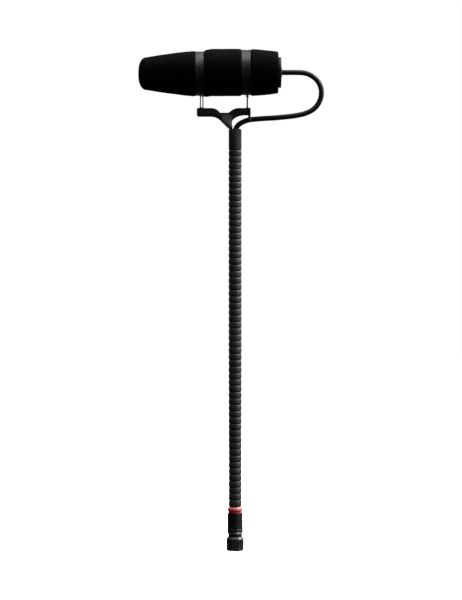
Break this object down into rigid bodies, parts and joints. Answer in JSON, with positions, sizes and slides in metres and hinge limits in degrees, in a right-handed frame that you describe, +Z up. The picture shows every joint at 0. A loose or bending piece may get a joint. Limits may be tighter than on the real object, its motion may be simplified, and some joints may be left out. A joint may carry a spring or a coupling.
{
  "type": "gooseneck podium microphone",
  "caption": "Slim podium microphone in a foam windscreen, hung by wires over a bow cradle on a ribbed flexible neck with a screw-on connector.",
  "frame": {"origin": "centre of the coupling nut's bottom face, on the neck's axis", "axes": "+Z up the neck towards the head; the head's nose points to -X; +Y is away from a viewer who sees the nose on the left"},
  "size_m": [0.0654, 0.0166, 0.1773],
  "materials": {
    "rubber": "matte, finely ribbed",
    "cable": "satin",
    "steel": "plain",
    "foam": "open-cell foam",
    "satin": "satin",
    "red": "satin",
    "gold": "plated",
    "white": "moulded",
    "board": "coated laminate",
    "black_metal": "satin black"
  },
  "bodies": {
    "connector": {"connector_body": "black_metal", "retaining_ring": "steel", "pin_insulator": "white", "centre_pin": "gold", "strain_sleeve": "rubber", "marker_ring": "red", "neck_cover_01": "rubber", "neck_coil_01": "steel", "neck_lead_01": "cable"},
    "nut": {"coupling_nut": "black_metal"},
    "neck_02": {"neck_cover_02": "rubber", "neck_coil_02": "steel", "neck_lead_02": "cable"},
    "neck_03": {"neck_cover_03": "rubber", "neck_coil_03": "steel", "neck_lead_03": "cable"},
    "neck_04": {"neck_cover_04": "rubber", "neck_coil_04": "steel", "neck_lead_04": "cable"},
    "neck_05": {"neck_cover_05": "rubber", "neck_coil_05": "steel", "neck_lead_05": "cable"},
    "neck_06": {"neck_cover_06": "rubber", "neck_coil_06": "steel", "neck_lead_06": "cable"},
    "neck_07": {"neck_cover_07": "rubber", "neck_coil_07": "steel", "neck_lead_07": "cable"},
    "neck_08": {"neck_cover_08": "rubber", "neck_coil_08": "steel", "neck_lead_08": "cable"},
    "neck_09": {"neck_cover_09": "rubber", "neck_coil_09": "steel", "neck_lead_09": "cable"},
    "neck_10": {"neck_cover_10": "rubber", "neck_coil_10": "steel", "neck_lead_10": "cable"},
    "cradle": {"neck_cover_11": "rubber", "neck_coil_11": "steel", "neck_lead_11": "cable", "top_ferrule": "black_metal", "cradle": "satin", "front_wire": "steel", "rear_wire": "steel", "loop_cable": "cable"},
    "head": {"windscreen": "foam", "front_band": "satin", "rear_band": "satin", "front_screen": "steel", "interference_tube": "black_metal", "capsule_housing": "black_metal", "diaphragm": "gold", "spacer_ring": "white", "backplate": "gold", "preamp_board": "board", "rear_housing": "black_metal", "tail_cap": "satin", "head_lead": "cable"}
  },
  "joints": [
    {"name": "nut_turn", "type": "hinge", "parent": "connector", "child": "nut", "pos_m": [0, 0, 0.00245], "axis": [0, 0, 1], "continuous": true},
    {"name": "neck_fore_aft_1", "type": "hinge", "parent": "connector", "child": "neck_02", "pos_m": [0, 0, 0.02904], "axis": [0, 1, 0], "range_deg": [-18, 18]},
    {"name": "neck_sideways_1", "type": "hinge", "parent": "neck_02", "child": "neck_03", "pos_m": [0, 0, 0.04024], "axis": [1, 0, 0], "range_deg": [-18, 18]},
    {"name": "neck_fore_aft_2", "type": "hinge", "parent": "neck_03", "child": "neck_04", "pos_m": [0, 0, 0.05144], "axis": [0, 1, 0], "range_deg": [-18, 18]},
    {"name": "neck_sideways_2", "type": "hinge", "parent": "neck_04", "child": "neck_05", "pos_m": [0, 0, 0.06264], "axis": [1, 0, 0], "range_deg": [-18, 18]},
    {"name": "neck_fore_aft_3", "type": "hinge", "parent": "neck_05", "child": "neck_06", "pos_m": [0, 0, 0.07384], "axis": [0, 1, 0], "range_deg": [-18, 18]},
    {"name": "neck_sideways_3", "type": "hinge", "parent": "neck_06", "child": "neck_07", "pos_m": [0, 0, 0.08504], "axis": [1, 0, 0], "range_deg": [-18, 18]},
    {"name": "neck_fore_aft_4", "type": "hinge", "parent": "neck_07", "child": "neck_08", "pos_m": [0, 0, 0.09624], "axis": [0, 1, 0], "range_deg": [-18, 18]},
    {"name": "neck_sideways_4", "type": "hinge", "parent": "neck_08", "child": "neck_09", "pos_m": [0, 0, 0.10744], "axis": [1, 0, 0], "range_deg": [-18, 18]},
    {"name": "neck_fore_aft_5", "type": "hinge", "parent": "neck_09", "child": "neck_10", "pos_m": [0, 0, 0.11864], "axis": [0, 1, 0], "range_deg": [-18, 18]},
    {"name": "neck_sideways_5", "type": "hinge", "parent": "neck_10", "child": "cradle", "pos_m": [0, 0, 0.12984], "axis": [1, 0, 0], "range_deg": [-18, 18]},
    {"name": "head_float", "type": "slide", "parent": "cradle", "child": "head", "axis": [1, 0, 0], "range_m": [-0.001, 0.001], "stiffness_N_per_m": 200, "deforming": ["front_wire", "rear_wire"]}
  ]
}
